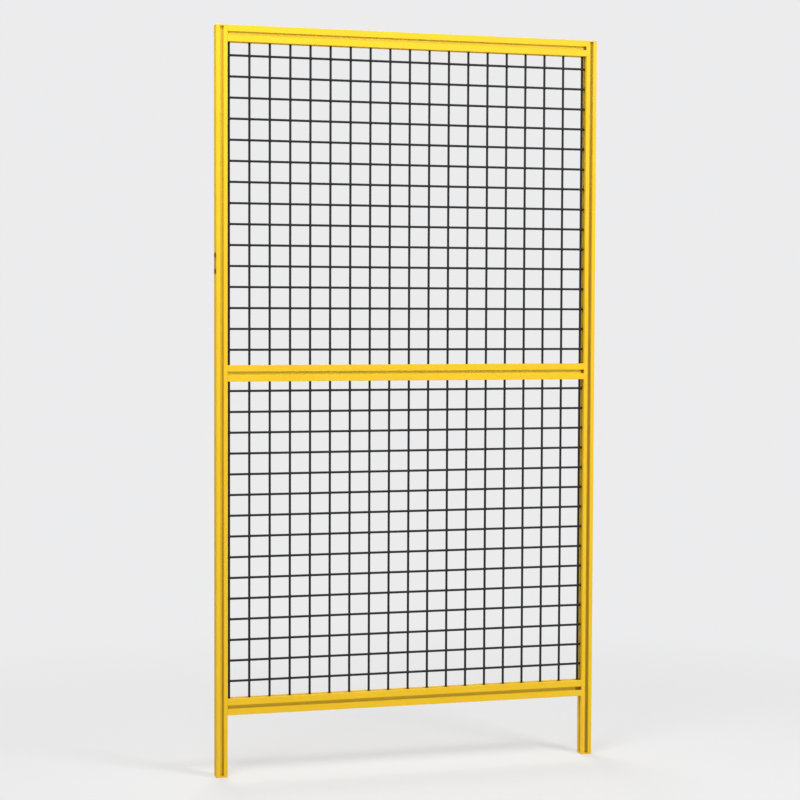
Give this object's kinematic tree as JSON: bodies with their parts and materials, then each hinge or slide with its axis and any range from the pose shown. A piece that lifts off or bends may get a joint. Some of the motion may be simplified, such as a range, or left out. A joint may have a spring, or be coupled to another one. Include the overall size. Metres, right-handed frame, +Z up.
{
  "type": "machine guard fence panel",
  "caption": "Free-standing bay of machine guarding: a yellow grooved-profile frame on two leg posts, with a middle rail and black welded square wire mesh above and below it.",
  "frame": {"origin": "middle of the left post's foot, on its flat underside", "axes": "+X along the panel from the left post to the right post, +Y from the front face to the back, +Z up"},
  "size_m": [0.983, 0.03, 1.8288],
  "materials": {
    "yellow_powder_coat": "fine-textured semi-gloss powder coat",
    "black_coated_wire": "satin black coated steel wire",
    "yellow_plastic": "moulded, fine matt grain"
  },
  "bodies": {
    "root": {"left_post": "yellow_powder_coat", "right_post": "yellow_powder_coat", "top_rail": "yellow_powder_coat", "middle_rail": "yellow_powder_coat", "bottom_rail": "yellow_powder_coat", "upper_mesh": "black_coated_wire", "lower_mesh": "black_coated_wire", "left_top_cap": "yellow_plastic", "right_top_cap": "yellow_plastic", "left_foot_cap": "yellow_plastic", "right_foot_cap": "yellow_plastic"}
  },
  "joints": []
}
